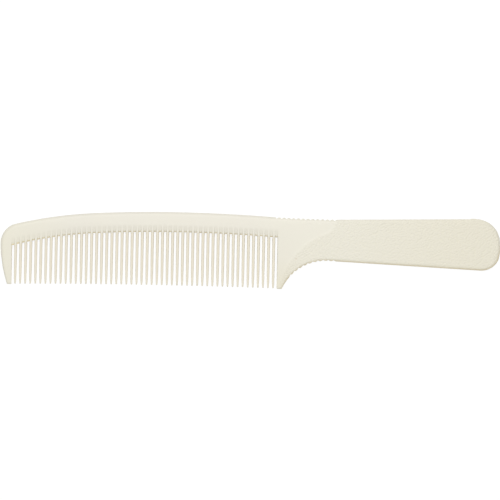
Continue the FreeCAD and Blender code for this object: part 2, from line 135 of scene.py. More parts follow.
@dataclass(frozen=True)
class Run:
    """Straight stretch between two points."""

    ax: float
    ay: float
    bx: float
    by: float

    def at(self, share: Points) -> Points:
        """Points at shares of the way along, from 0 to 1."""
        return np.stack((self.ax + (self.bx - self.ax) * share,
                         self.ay + (self.by - self.ay) * share), -1)

    def depth(self, points: Points) -> Points:
        """How far inside the run points lie.

        Args:
            points: places on the drawing.

        Returns:
            The distances, and infinity past the ends of the run.
        """
        way = np.array((self.bx - self.ax, self.by - self.ay))
        length = float(np.hypot(*way))
        way = way / length
        off = points - np.array((self.ax, self.ay))
        along = off @ way
        inside = ((along > -TANGENT_MARGIN)
                  & (along < length + TANGENT_MARGIN))
        across = off[..., 0] * way[1] - off[..., 1] * way[0]
        return np.where(inside, across, np.inf)


@dataclass(frozen=True)
class Drawing:
    """Outline and thickness of the whole moulding.

    Fields:
        half_plate, half_tip: half thickness of the plate and at its tips.
        full_height: height at which the plate is fully thick.
        row_start, row_end: ends of the row of teeth.
        waist: where the plate is fully thick all over.
        root_drop: distance of the line of the roots below the back.
        tip_back_span: reach of the crest towards the tip.
        edge_round, round_share: radius of the edges, and its limit.
        crown_drop, crown_reach, crown_above, crown_fade: slight fall of the
            faces towards the back, how wide it is and where it ends.
        sill_along, sill_up: profile of the bottom of a gap.
        blend: width over which surfaces are eased into each other.

    The other fields are the stretches of the outline, in order.
    """

    half_plate: float = 2.0
    half_tip: float = 0.8
    full_height: float = 26.2
    row_start: float = 4.93
    row_end: float = 119.051
    waist: float = 137.7
    root_drop: float = 8.6
    tip_back_span: float = 33.6
    edge_round: float = 1.3
    round_share: float = 0.75
    crown_drop: float = 0.06
    crown_reach: float = 4.5
    crown_above: float = 18.0
    crown_fade: float = 14.0
    sill_along: Sequence[float] = (0.0, 0.06, 0.18, 0.4, 0.8, 1.5, 2.1, 2.8,
                                   4.0)
    sill_up: Sequence[float] = (0.06, 0.50, 0.72, 0.80, 0.855, 0.905, 0.955,
                                1.04, 1.6)
    blend: float = 0.2
    guard_edge: Arc = Arc(54.0, 17.814, 54.0, 199.26, 180.0)
    tip_corner: Arc = Arc(8.4, 17.814, 8.4, 180.0, 103.97)
    tip_back: Arc = Arc(51.761, -156.473, 188.0, 103.97, 93.465)
    crest: Arc = Arc(74.0, -523.8, 556.0, 93.465, 90.0)
    heel_back: Arc = Arc(74.0, -655.8, 688.0, 90.0, 86.246)
    neck_back: Arc = Arc(137.189, 307.129, 277.0, 266.246, 271.245)
    upper_line: Run = Run(143.208, 30.194, 204.238, 31.521)
    upper_corner: Arc = Arc(204.466, 21.023, 10.5, 91.245, 2.541)
    end_edge: Arc = Arc(170.0, 19.494, 45.0, 2.541, -3.19)
    lower_corner: Arc = Arc(206.944, 17.435, 8.0, -3.19, -92.56)
    lower_line: Run = Run(206.586, 9.443, 141.277, 12.402)
    notch: Arc = Arc(140.330, -8.477, 20.9, 87.406, 156.069)

    def edges(self) -> tuple[Arc | Run, ...]:
        """Every stretch of the outline whose edge is rounded.

        Returns:
            The stretches, in order round the comb.
        """
        return (self.guard_edge, self.tip_corner, self.tip_back, self.crest,
                self.heel_back, self.neck_back, self.upper_line,
                self.upper_corner, self.end_edge, self.lower_corner,
                self.lower_line, self.notch)

    def crest_start(self, drop: float) -> float:
        """Where the crest begins on a line that runs below the back."""
        return self.crest.x - self.tip_back_span * (
            1 - drop / self.crest.radius)

    def _over(self, x: Points, drop: float) -> Points:
        """Height of a line that follows the back.

        Args:
            x: places along the comb.
            drop: how far below the back the line runs.

        Returns:
            The height at each place.
        """
        def bow(arc: Arc) -> Points:
            """Height of one arc of the line."""
            reach = (arc.radius - drop) ** 2 - (x - arc.x) ** 2
            return arc.y + np.sqrt(np.maximum(reach, 0.0))
        return np.where(x < self.crest_start(drop), bow(self.tip_back),
                        np.where(x < self.crest.x, bow(self.crest),
                                 bow(self.heel_back)))

    def back(self, x: Points) -> Points:
        """Height of the back above the tooth row."""
        return self._over(x, 0.0)

    def root(self, x: Points) -> Points:
        """Height of the line of the roots."""
        return self._over(x, self.root_drop)

    def plate(self, points: Points) -> Points:
        """Half thickness before any edge is rounded.

        Args:
            points: places on the drawing.

        Returns:
            The half thickness at each place.
        """
        x, y = points[..., 0], points[..., 1]
        rise = np.clip(y / self.full_height, 0.0, 1.0)
        wedge = self.half_tip + (self.half_plate - self.half_tip) * rise
        even = smooth_step((x - self.row_end) / (self.waist - self.row_end))
        return wedge + (self.half_plate - wedge) * even

    def height(self, points: Points, share: Points, sill: Points,
               outset: Points) -> Points:
        """Half thickness of the finished moulding.

        Args:
            points: places on the drawing.
            share: how far up its flank a place lies, 0 in a gap and 1 on top.
            sill: how far a place lies above the bottom of its gap.
            outset: how far the edge near a place stands out.

        Returns:
            The height above the parting plane at each place.
        """
        top = self.plate(points)
        bottom = np.interp(sill, self.sill_along, self.sill_up) * top
        edge = np.minimum.reduce([e.depth(points) for e in self.edges()])
        edge = np.maximum(edge + outset, 0.0)
        crown = np.clip(1 - edge / self.crown_reach, 0.0, 1.0) ** 2
        fade = 1 - smooth_step(
            (points[..., 0] - self.row_end) / self.crown_fade)
        above = points[..., 1] > self.crown_above
        top = top - self.crown_drop * crown * fade * above
        radius = np.minimum(self.edge_round, self.round_share * top)
        inward = radius - np.minimum(edge, radius)
        top = top - radius + np.sqrt(radius ** 2 - inward ** 2)
        flank = top * share + self.blend * share ** 3
        rise = np.maximum(flank, bottom) + self.soft(flank - bottom)
        return np.minimum(top, rise) - self.soft(top - rise)

    def soft(self, difference: Points) -> Points:
        """Amount by which two meeting surfaces are eased into each other."""
        reach = np.maximum(self.blend - np.abs(difference), 0.0)
        return reach ** 2 / (4 * self.blend)


def smooth_step(value: Points) -> Points:
    """Eased rise from 0 to 1."""
    value = np.clip(value, 0.0, 1.0)
    return value * value * (3 - 2 * value)


# ------------------------------------------------------------------- sheets

FLANK_IN = np.array((0.0, 0.05, 0.12, 0.22, 0.36))
FLANK_UP = np.array((0.0, 0.5, 0.83, 0.955, 0.985))
TOOTH_UP = np.array((0.0, 0.72, 0.88, 0.955, 0.99))
RIM = np.array((0.0, 0.034, 0.134, 0.293, 0.5, 0.741, 1.0))
FROM_ROOT = np.concatenate((RIM, (1.5, 2.1, 2.6, 3.1)))
FROM_BACK = np.concatenate((RIM, (1.4, 2.0, 2.8)))
FROM_TIP = np.array((0.0, 0.05, 0.15, 0.3, 0.5, 0.8, 1.3, 2.0, 3.5))
BELOW_ROOT = np.array((0.6, 0.12, 0.0))
BAND_MIDDLE, HANGING_MIDDLE = 3, 5
EDGE_FADE = 3.0
TIP_ROUND = 0.6
TIP_LEAST = 0.55


def between(first: Points, last: Points, amount: int) -> Points:
    """Evenly spaced steps between two values, without the values."""
    share = np.linspace(0.0, 1.0, amount + 2)[1:-1]
    return first[..., None] + (last - first)[..., None] * share


def band_rows(length: Points) -> Points:
    """Rows of a sheet that reaches up to the back.

    Args:
        length: length of each column.

    Returns:
        Distances of the rows from the lower side, by column.
    """
    low = np.broadcast_to(FROM_ROOT, (*length.shape, len(FROM_ROOT)))
    high = length[..., None] - FROM_BACK[::-1]
    middle = between(low[..., -1], high[..., 0], BAND_MIDDLE)
    return np.concatenate((low, middle, high), -1)


def hanging_rows(length: Points) -> Points:
    """Rows of a sheet that hangs below the line of the roots.

    Args:
        length: length of each column.

    Returns:
        Distances of the rows from the tip, by column.
    """
    low = np.broadcast_to(FROM_TIP, (*length.shape, len(FROM_TIP)))
    high = length[..., None] - BELOW_ROOT
    middle = between(low[..., -1], high[..., 0], HANGING_MIDDLE)
    return np.concatenate((low, middle, high), -1)


def near_end(rows: Points) -> Points:
    """Rise from 0 to 1 over the last stretch before a column's upper end."""
    return np.clip(1 - (rows[:, -1:] - rows) / EDGE_FADE, 0.0, 1.0)


@dataclass
class Sheet:
    """Columns of one region, each from a lower to an upper point.

    Fields:
        lower, upper: ends of the columns.
        share: how far up its flank each column lies.
        hanging: the region lies below the line of the roots.
        left, right: outline that bends the first and last column.
        right_from: the column at which the bend to the right begins.
        outset: how far the upper end of each column stands out.
    """

    lower: Points
    upper: Points
    share: Points
    hanging: bool = False
    left: Points | None = None
    right: Points | None = None
    right_from: int = 0
    outset: Points | None = None

    def places(self) -> tuple[Points, Points]:
        """Lay out the vertices.

        Returns:
            Their places, and their distances from the lower side.
        """
        way = self.upper - self.lower
        length = np.hypot(way[:, 0], way[:, 1])
        rows = (hanging_rows if self.hanging else band_rows)(length)
        share = rows / length[:, None]
        points = self.lower[:, None] + way[:, None] * share[..., None]
        steps = np.hypot(*(self.lower - self.lower[0]).T)
        if self.left is not None:
            bend = path(self.left, share[0]) - points[0]
            fade = 1 - steps / steps[-1]
            points = points + bend * fade[:, None, None]
        if self.right is not None:
            bend = path(self.right, share[-1]) - points[-1]
            start = steps[self.right_from]
            fade = np.clip((steps - start) / (steps[-1] - start), 0.0, 1.0)
            points = points + bend * fade[:, None, None]
        return points, rows

    def heights(self, drawing: Drawing, points: Points,
                rows: Points) -> Points:
        """Heights of the vertices above the parting plane.

        Args:
            drawing: drawing of the moulding.
            points: places of the vertices.
            rows: their distances from the lower side.

        Returns:
            The height of each vertex.
        """
        share = np.broadcast_to(self.share[:, None], rows.shape)
        outset = np.zeros_like(rows)
        if self.outset is not None:
            outset = self.outset[:, None] * near_end(rows)
        if not self.hanging:
            return drawing.height(points, share, rows, outset)
        tip = 1 - (1 - np.minimum(rows / TIP_ROUND, 1.0)) ** 2
        top = drawing.height(points, share, np.zeros_like(rows), outset)
        steep = np.interp(share, FLANK_UP, TOOTH_UP)
        below = np.where(share < 1, drawing.plate(points) * steep, top)
        last = np.arange(rows.shape[1]) == rows.shape[1] - 1
        rounded = np.where(last, top, below)
        return rounded * (TIP_LEAST + (1 - TIP_LEAST) * np.sqrt(tip))

    def build(self, name: str, drawing: Drawing) -> Object:
        """Add a grid and lay its vertices on the moulding's surface.

        Args:
            name: name of the patch.
            drawing: drawing of the moulding.

        Returns:
            The patch.
        """
        points, rows = self.places()
        heights = self.heights(drawing, points, rows)
        columns, levels = rows.shape
        bpy.ops.object.select_all(action="DESELECT")
        bpy.ops.mesh.primitive_grid_add(
            x_subdivisions=columns - 1, y_subdivisions=levels - 1, size=2.0)
        piece = bpy.context.object
        piece.name = name
        count = columns * levels
        flat = np.empty(count * 3)
        piece.data.vertices.foreach_get("co", flat)
        flat = flat.reshape(count, 3)
        column = np.rint((flat[:, 0] + 1) / 2 * (columns - 1)).astype(int)
        level = np.rint((flat[:, 1] + 1) / 2 * (levels - 1)).astype(int)
        flat[:, 0] = along_comb(points[column, level, 0])
        flat[:, 1] = across_comb(points[column, level, 1])
        flat[:, 2] = heights[column, level] * MM
        piece.data.vertices.foreach_set("co", flat.ravel())
        piece.data.update()
        return piece


def path(points: Points, share: Points) -> Points:
    """Find points along a dense line.

    Args:
        points: the line's own points.
        share: shares of its length.

    Returns:
        The point at each share.
    """
    steps = np.hypot(*np.diff(points, axis=0).T)
    place = np.concatenate(((0.0,), np.cumsum(steps)))
    place = place / place[-1]
    return np.stack([np.interp(share, place, points[:, k])
                     for k in (0, 1)], -1)


def line(*stretches: Points) -> Points:
    """One dense line of several stretches, end to end."""
    return np.concatenate(stretches)


DENSE = np.linspace(0.0, 1.0, 400)


# ------------------------------------------------------------------ regions

@dataclass
class TipGuard:
    """Broad end tooth and the rounded corner of the comb above it.

    Fields:
        drawing: drawing of the moulding.
        flat_start: where the flat tip of the guard begins.
        corner_split: angle that parts the corner's end from its top.
        steps: shares of the way from the edge to the first gap.
    """

    drawing: Drawing
    flat_start: float = 3.023
    corner_split: float = 135.0
    steps: Sequence[float] = (0.0, 0.01, 0.03, 0.07, 0.12, 0.19, 0.28, 0.4,
                              0.55, 0.7, 0.85)

    def sheets(self) -> list[Sheet]:
        """Lay out the guard.

        Returns:
            The guard below the line of the roots, and the corner above it.
        """
        d = self.drawing
        wall = d.row_start - FLANK_IN[::-1]
        share = np.concatenate((np.ones(len(self.steps)), FLANK_UP[::-1]))
        steps = np.array(self.steps)
        root = float(d.root(np.array(d.row_start))) + TeethRow.root_corner
        bulge = np.array((0.0, d.tip_corner.y))
        inner = np.array((wall[0], root))
        middle = bulge + (inner - bulge) * steps[:, None]
        middle = line(middle, np.stack((wall, np.full(len(wall), root)), -1))
        turn = replace(d.tip_corner, start=self.corner_split, end=0.0)
        upper_x = line(turn.at(np.zeros(1))[:, 0], wall)
        upper_x = line(upper_x[0] + (wall[0] - upper_x[0]) * steps, wall)
        upper = np.stack((upper_x, turn.y + np.sqrt(
            turn.radius ** 2 - (upper_x - turn.x) ** 2)), -1)
        tips_x = line(self.flat_start + (wall[0] - self.flat_start) * steps,
                      wall)
        tips = np.stack((tips_x, np.zeros_like(tips_x)), -1)
        corner = replace(d.tip_corner, end=self.corner_split)
        return [
            Sheet(tips, middle, share, hanging=True,
                  left=d.guard_edge.at(DENSE)),
            Sheet(middle, upper, share, left=corner.at(DENSE)),
        ]


@dataclass
class TeethRow:
    """The teeth, the sloped gaps between them and the arched spine.

    Fields:
        drawing: drawing of the moulding.
        count, pitch, half_width: number, spacing and half width of teeth.
        rises, half_widths: half widths at distances from a tooth's tip.
        gap_places: columns across a gap, from -1 to 1.
        tip_setback, tip_arch: curve on which the tips lie.
        root_corner: rounding of the corners of a gap.
        gap_curve, flank_curve: how sharply that rounding turns.
        grip_from: where the grip on the back begins.
    """

    drawing: Drawing
    count: int = 52
    pitch: float = 2.177
    half_width: float = 0.63
    rises: Sequence[float] = (0.0, 0.12, 0.3, 0.5, 2.0, 3.5, 8.5, 16.0, 20.0)
    half_widths: Sequence[float] = (0.17, 0.27, 0.335, 0.375, 0.475, 0.525,
                                    0.59, 0.6, 0.63)
    gap_places: Sequence[float] = (-0.75, -0.25, 0.25, 0.75)
    tip_setback: float = 0.12
    tip_arch: float = 0.55
    root_corner: float = 0.22
    gap_curve: int = 3
    flank_curve: int = 6
    grip_from: float = 118.2

    def gap(self) -> float:
        """Width of a gap at the roots."""
        return self.pitch - 2 * self.half_width

    def half(self, rise: Points) -> Points:
        """Half the width of a tooth at distances from its tip."""
        return np.interp(rise, self.rises, self.half_widths)

    def across(self) -> tuple[Points, Points]:
        """Lay out the columns over one tooth.

        Returns:
            Their places from -1 to 1, and how far up a flank they lie.
        """
        place = 1 - FLANK_IN / self.half_width
        place = line(-place, (0.0,), place[::-1])
        share = line(FLANK_UP, (1.0,), FLANK_UP[::-1])
        return place, share

    def centres(self) -> Points:
        """Middles of the teeth along the comb."""
        first = self.drawing.row_start + self.gap() + self.half_width
        return first + np.arange(self.count) * self.pitch

    def band(self) -> Sheet:
        """Lay out the roots and the spine over the whole row.

        Returns:
            One sheet from the line of the roots to the back.
        """
        d = self.drawing
        place, share = self.across()
        gap_place = np.array(self.gap_places)
        xs, shares, lifts = ([np.array((d.row_start,))], [np.zeros(1)],
                             [np.ones(1)])
        for index in range(self.count + 1):
            middle = d.row_start + self.gap() / 2 + index * self.pitch
            xs.append(middle + gap_place * self.gap() / 2)
            shares.append(np.zeros(len(gap_place)))
            lifts.append(np.abs(gap_place) ** self.gap_curve)
            if index < self.count:
                centre = middle + self.pitch / 2
                xs.append(centre + place * self.half_width)
                shares.append(share)
                lifts.append(np.abs(place) ** self.flank_curve)
        xs.append(np.array((d.row_end,)))
        shares.append(np.zeros(1))
        lifts.append(np.ones(1))
        x = line(*xs)
        lower = np.stack((x, d.root(x) + self.root_corner * line(*lifts)), -1)
        back = np.where(x > self.grip_from, Neck(d).upper_edge(x)[:, 1],
                        d.back(x))
        return Sheet(lower, np.stack((x, back), -1), line(*shares),
                     outset=Neck(d).swell(x))

    def tooth(self, centre: float) -> "Tooth":
        """Lay out one tooth.

        Args:
            centre: middle of the tooth along the comb.

        Returns:
            The sheet from its tip to its root.
        """
        d = self.drawing
        place, share = self.across()
        x = centre + place * self.half_width
        lift = np.abs(place) ** self.flank_curve
        top = d.root(x) + self.root_corner * lift
        row = (centre - d.row_start) / (d.row_end - d.row_start) * 2 - 1
        tip = self.tip_setback + self.tip_arch * (1 - row ** 2)
        return Tooth(np.stack((x, np.full(len(x), tip)), -1),
                     np.stack((x, top), -1), share, hanging=True,
                     centre=centre, row=self)

    def sheets(self) -> list[Sheet]:
        """The spine over the row, and each tooth below it."""
        return [self.band(), *(self.tooth(float(x)) for x in self.centres())]


@dataclass
class Tooth(Sheet):
    """A hanging sheet that narrows towards its tip.

    Fields:
        centre: middle of the tooth along the comb.
        row: the row that says how wide a tooth is.
    """

    centre: float = 0.0
    row: TeethRow | None = None

    def places(self) -> tuple[Points, Points]:
        """Lay out the vertices, drawn in towards the tip.

        Returns:
            Their places, and their distances from the tip.
        """
        points, rows = super().places()
        width = self.row.half(rows) / self.row.half_width
        width = width + (1 - width) * near_end(rows)
        points[..., 0] = self.centre + (points[..., 0] - self.centre) * width
        return points, rows


@dataclass
class Neck:
    """Heel guard and the waist with its finger grip.

    Fields:
        drawing: drawing of the moulding.
        end: where the neck meets the handle.
        split: angle on the notch at which the guard ends.
        flat_end: where the flat tip of the guard ends.
        guard_top: end of the guard's columns on the back.
        columns: columns from the guard to the handle.
        upper_groove, lower_groove: depths of the grooves.
        groove_lead, groove_tail: how far the grip reaches before its first
            and after its last groove, in grooves.
        proud, always_proud: how far the ribs of the back stand out.
        swell_rise: how quickly they begin to stand out.
        upper_pitch, lower_pitch: distance from groove to groove.
        upper_span, lower_span: place of the first groove, and how many
            follow it.
        steps: shares of the way from the last gap across the guard.
    """

    drawing: Drawing
    end: float = 144.6
    split: float = 139.7
    flat_end: float = 121.226
    guard_top: float = 121.5
    columns: int = 121
    upper_groove: float = 0.62
    lower_groove: float = 0.45
    groove_lead: float = 0.36
    groove_tail: float = 0.5
    proud: float = 0.17
    always_proud: float = 0.08
    swell_rise: float = 50.0
    upper_pitch: float = 2.075
    upper_span: Sequence[float] = (118.64, 12)
    lower_pitch: float = 2.26
    lower_span: Sequence[float] = (0.85, 9)
    steps: Sequence[float] = (0.14, 0.29, 0.45, 0.6, 0.73, 0.83, 0.91, 0.96,
                              0.99, 1.0)

    def grooves(self, along: Points, start: float, pitch: float,
                count: int) -> Points:
        """Shape of the finger grip's grooves along an edge.

        Args:
            along: distances along the edge.
            start: distance of the first groove.
            pitch: distance from one groove to the next.
            count: grooves after the first.

        Returns:
            1 in the middle of a groove, 0 on a rib and past the grip.
        """
        place = (along - start) / pitch
        wave = 1 - np.abs(np.sin(math.pi * place))
        within = ((place > -self.groove_lead)
                  & (place < count + self.groove_tail))
        return np.where(within, wave, 0)

    def swell(self, x: Points) -> Points:
        """How far the ribs of the back stand out.

        Args:
            x: places along the comb.

        Returns:
            The distance at each place.
        """
        start, count = self.upper_span
        share = np.clip((x - start) / (count * self.upper_pitch), 0.0, 1.0)
        ends = np.minimum(share, 1 - share) * self.swell_rise
        return (self.proud * np.sin(math.pi * share)
                + self.always_proud * np.minimum(ends, 1.0))

    def upper_edge(self, x: Points) -> Points:
        """Back of the neck, with its grooves.

        Args:
            x: places along the comb.

        Returns:
            The point of the edge at each place.
        """
        d = self.drawing
        arc = d.neck_back
        bow = arc.y - np.sqrt(arc.radius ** 2 - (x - arc.x) ** 2)
        straight = d.upper_line
        run = straight.ay + (x - straight.ax) * (
            (straight.by - straight.ay) / (straight.bx - straight.ax))
        y = np.where(x < straight.ax, bow, run)
        start, count = self.upper_span
        cut = self.upper_groove * self.grooves(x, start, self.upper_pitch,
                                               count)
        return np.stack((x, y + self.swell(x) - cut), -1)

    def lower_edge(self, share: Points) -> Points:
        """Notch and the start of the handle's lower edge, with grooves.

        Args:
            share: shares of the way from the guard to the handle.

        Returns:
            The point of the edge at each share.
        """
        d = self.drawing
        arc, run = d.notch, d.lower_line
        bow = math.radians(self.split - arc.start) * arc.radius
        slope = (run.ay - run.by) / (run.ax - run.bx)
        total = bow + (self.end - run.bx) * math.hypot(1.0, slope)
        along = share * total
        start, count = self.lower_span
        inward = self.lower_groove * self.grooves(along, start,
                                                  self.lower_pitch, count)
        angle = np.radians(self.split) - np.minimum(along, bow) / arc.radius
        off = arc.radius * np.cos(angle)
        rest = np.maximum(along - bow, 0.0) / math.hypot(1.0, slope)
        on_run = along > bow
        x = np.where(on_run, run.bx + rest, arc.x + off)
        y = np.where(on_run, run.by + slope * rest + inward,
                     arc.y + np.sqrt((arc.radius + inward) ** 2 - off ** 2))
        return np.stack((x, y), -1)

    def sheets(self) -> list[Sheet]:
        """Lay out the guard and the neck.

        Returns:
            The heel guard, and the neck from it to the handle.
        """
        d = self.drawing
        steps = np.array(self.steps)
        wall = d.row_end + FLANK_IN
        share = line(FLANK_UP, np.ones(len(steps)))
        root = float(d.root(np.array(d.row_end))) + TeethRow.root_corner
        corner = self.lower_edge(np.zeros(1))[0]

        def spread(end: float) -> Points:
            """Columns from the wall of the last gap to an end."""
            return line(wall, wall[-1] + (end - wall[-1]) * steps)

        middle_x = spread(corner[0])
        fall = np.clip((middle_x - wall[-1]) / (corner[0] - wall[-1]), 0, 1)
        middle = np.stack((middle_x, root + (corner[1] - root) * fall), -1)
        tips_x = spread(self.flat_end)
        tips = np.stack((tips_x, np.zeros_like(tips_x)), -1)
        edge = replace(d.notch, start=d.notch.end, end=self.split)
        further = np.linspace(0.0, 1.0, self.columns + 1)[1:]
        upper_x = line(spread(self.guard_top), self.guard_top
                       + (self.end - self.guard_top) * further)
        upper = self.upper_edge(upper_x)
        return [
            Sheet(tips, middle, share, hanging=True, right=edge.at(DENSE),
                  right_from=len(wall) - 1),
            Sheet(line(middle, self.lower_edge(further)), upper,
                  line(share, np.ones(self.columns)),
                  outset=self.swell(upper_x)),
        ]


@dataclass
class Handle:
    """Broad flat handle with its rounded end.

    Fields:
        drawing: drawing of the moulding.
        start, body_end: ends of the straight part.
        gate_place, gate_reach, gate_rise, gate_steep: place, half width,
            height and steepness of the cut sprue.
        stub_offset, stub_reach, stub_share, stub_steep: a smaller rise
            beside it.
        corner_angle: angle at which a corner is parted from the end.
        body_columns: columns of the straight part.
        coarse_to, coarse_columns: columns of the sides of the end.
        fine_from, fine_columns, last: columns of its corners.
    """

    drawing: Drawing
    start: float = 144.6
    body_end: float = 199.5
    gate_place: float = 203.15
    gate_reach: float = 1.45
    gate_rise: float = 0.2
    gate_steep: float = 4.0
    stub_offset: float = 2.3
    stub_reach: float = 0.4
    stub_share: float = 0.35
    stub_steep: float = 2.0
    corner_angle: float = 45.0
    body_columns: int = 19
    coarse_to: float = 0.8
    coarse_columns: int = 25
    fine_from: float = 0.82
    fine_columns: int = 16
    last: Sequence[float] = (0.9925, 1.0)

    def gate(self, x: Points) -> Points:
        """Rise of the cut sprue that is left on the back.

        Args:
            x: places along the comb.

        Returns:
            The rise at each place.
        """
        off = np.abs(x - self.gate_place) / self.gate_reach
        stub = np.abs(x - self.gate_place - self.stub_offset)
        stub = smooth_step((1 - stub / self.stub_reach) * self.stub_steep)
        return self.gate_rise * (smooth_step((1 - off) * self.gate_steep)
                                 + self.stub_share * stub)

    @staticmethod
    def along(run: Run, x: Points) -> Points:
        """Points of a straight edge at x."""
        slope = (run.by - run.ay) / (run.bx - run.ax)
        return np.stack((x, run.ay + (x - run.ax) * slope), -1)

    def side(self, run: Run, end: float) -> Points:
        """Dense points of a straight edge, from the body to the end."""
        return self.along(run, self.body_end + (end - self.body_end) * DENSE)

    def ease(self) -> Points:
        """Space the columns of the rounded end.

        Returns:
            Shares of the way round it, closer near its corners.
        """
        shares = line(
            np.linspace(0.0, self.coarse_to, self.coarse_columns),
            np.linspace(self.fine_from, 1.0, self.fine_columns)[:-1],
            self.last)
        return np.unique(np.round(shares, 5))

    def sheets(self) -> list[Sheet]:
        """Lay out the handle.

        Returns:
            The straight part, and the rounded end.
        """
        d = self.drawing
        body = np.linspace(self.start, self.body_end, self.body_columns)
        ease = self.ease()
        high, low, edge = d.upper_corner, d.lower_corner, d.end_edge
        angle = self.corner_angle
        top = line(
            self.side(d.upper_line, d.upper_line.bx),
            replace(high, end=angle).at(DENSE)[1:])
        bottom = line(
            self.side(d.lower_line, d.lower_line.ax),
            replace(low, start=low.end, end=-angle).at(DENSE)[1:])
        end = line(
            replace(low, start=-angle, end=low.start).at(DENSE),
            replace(edge, start=edge.end, end=edge.start).at(DENSE)[1:],
            replace(high, start=high.end, end=angle).at(DENSE)[1:])
        upper = path(top, ease)
        gate = self.gate(upper[:, 0])
        upper[:, 1] += gate
        return [
            Sheet(self.along(d.lower_line, body),
                  self.along(d.upper_line, body), np.ones(len(body))),
            Sheet(path(bottom, ease), upper, np.ones(len(ease)), right=end,
                  outset=gate),
        ]


# ------------------------------------------------------------------- finish

class Maths:
    """A number in a node tree that Python's operators work on."""

    def __init__(self, tree: "Nodes", socket: NodeSocket) -> None:
        """Wrap a socket of a tree."""
        self.tree, self.socket = tree, socket

    def do(self, operation: str, *others: object,
           clamp: bool = False) -> "Maths":
        """Feed this number and others through one Math node.

        Args:
            operation: what the node does.
            others: the node's other numbers.
            clamp: keep the result between 0 and 1.

        Returns:
            The result.
        """
        node = self.tree.add("ShaderNodeMath",
                             {"operation": operation, "use_clamp": clamp},
                             dict(enumerate((self, *others))))
        return Maths(self.tree, node.outputs[0])

    def __add__(self, other: object) -> "Maths":
        """This number plus another."""
        return self.do("ADD", other)

    def __mul__(self, other: object) -> "Maths":
        """This number times another."""
        return self.do("MULTIPLY", other)

    __rmul__ = __mul__

    def __sub__(self, other: object) -> "Maths":
        """This number less another."""
        return self.do("SUBTRACT", other)

    def __rsub__(self, other: float) -> "Maths":
        """Another number less this one."""
        return self * -1.0 + other

    def __pow__(self, power: float) -> "Maths":
        """This number to a power."""
        return self.do("POWER", power)

    def over(self, start: float, width: float) -> "Maths":
        """Rise from 0 to 1 over a width that begins at a value."""
        return ((self - start) * (1.0 / width)).do("ADD", 0.0, clamp=True)


class Nodes:
    """Node tree of one material or of the world."""

    def __init__(self, owner: Material | World) -> None:
        """Start with an empty tree.

        Args:
            owner: the material or the world that the tree belongs to.
        """
        self.owner = owner
        owner.use_nodes = True
        self.tree: NodeTree = owner.node_tree
        self.tree.nodes.clear()

    def add(self, kind: str, settings: dict | None = None,
            values: dict | None = None) -> Node:
        """Add one node.

        Args:
            kind: the node's type.
            settings: properties that are set before its sockets.
            values: values or links of its sockets, by name or number.

        Returns:
            The new node.
        """
        node = self.tree.nodes.new(kind)
        for key, value in (settings or {}).items():
            setattr(node, key, value)
        for key, value in (values or {}).items():
            socket = node.inputs[key]
            if isinstance(value, Maths):
                value = value.socket
            elif isinstance(value, Enum):
                value = value.value
            if isinstance(value, NodeSocket):
                self.tree.links.new(value, socket)
            else:
                socket.default_value = value
        return node

    def number(self, socket: NodeSocket) -> Maths:
        """A number socket that operators work on."""
        return Maths(self, socket)

    def noise(self, place: NodeSocket, scale: float,
              detail: float = 2.0) -> Maths:
        """Soft random patches of a scale and a number of finer layers."""
        return self.number(self.add("ShaderNodeTexNoise", {}, {
            "Vector": place, "Scale": scale, "Detail": detail}).outputs[0])

    def mix(self, factor: Maths, first: object, second: object,
            blend: str = "MIX") -> NodeSocket:
        """A colour between two colours, or one stained by the other.

        Args:
            factor: how much of the second colour there is.
            first, second: the colours, as sockets or shades.
            blend: MIX, or MULTIPLY to stain.

        Returns:
            The colour that comes of it.
        """
        node = self.add("ShaderNodeMix",
                        {"data_type": "RGBA", "blend_type": blend},
                        {0: factor, 6: first, 7: second})
        return node.outputs[2]

    def looked_at(self) -> Maths:
        """Tell rays that show what they meet from those that gather light.

        Returns:
            1 for the first kind, 0 for the second.
        """
        ray = self.add("ShaderNodeLightPath").outputs
        return self.number(ray["Is Camera Ray"]).do(
            "MAXIMUM", self.number(ray["Is Glossy Ray"])).do(
            "MAXIMUM", self.number(ray["Is Transmission Ray"]))

    def finish(self, shader: Node,
               output: str = "ShaderNodeOutputMaterial") -> Material | World:
        """Connect the surface, and hand over the material or the world."""
        self.add(output, {}, {"Surface": shader.outputs[0]})
        return self.owner


class Shade(Enum):
    """Colours of the moulding, as red, green, blue and alpha; some are painted light or
    shade, as marked.
    """

    SPINE = (0.731, 0.702, 0.614, 1.0)
    # painted light: the next two colours are lighter than the spine and the handle, to
    # lift the neck, which the lamp lights less
    NECK_PAINTED_LIGHT = (0.747, 0.720, 0.622, 1.0)
    GRIP = (0.769, 0.741, 0.644, 1.0)
    HANDLE = (0.762, 0.725, 0.611, 1.0)
    # painted light: lighter than the spine, to offset the shade on the tapered tip guard
    TIP_GUARD_PAINTED_LIGHT = (0.757, 0.728, 0.611, 1.0)
    HEEL = (0.738, 0.700, 0.568, 1.0)
    # painted shade: a faint warm tint for the hollows of the grain
    GRAIN_HOLLOW_SHADE = (1.000, 1.000, 0.970, 1.0)
    # painted shade: warm darkening for the rounded lower edge, which faces away from the
    # lamp
    EDGE = (1.000, 0.925, 0.765, 1.0)
    TOOTH = (0.757, 0.698, 0.560, 1.0)
    # painted light: lighter than the body, to fill the shade between the teeth
    FLANK_PAINTED_LIGHT = (1.000, 0.945, 0.810, 1.0)
    # painted light: a warm glow for the shaded walls at the bottoms of the gaps
    GAP_BOTTOM_PAINTED_LIGHT = (1.000, 0.840, 0.430, 1.0)
    SPECK = (0.450, 0.300, 0.150, 1.0)


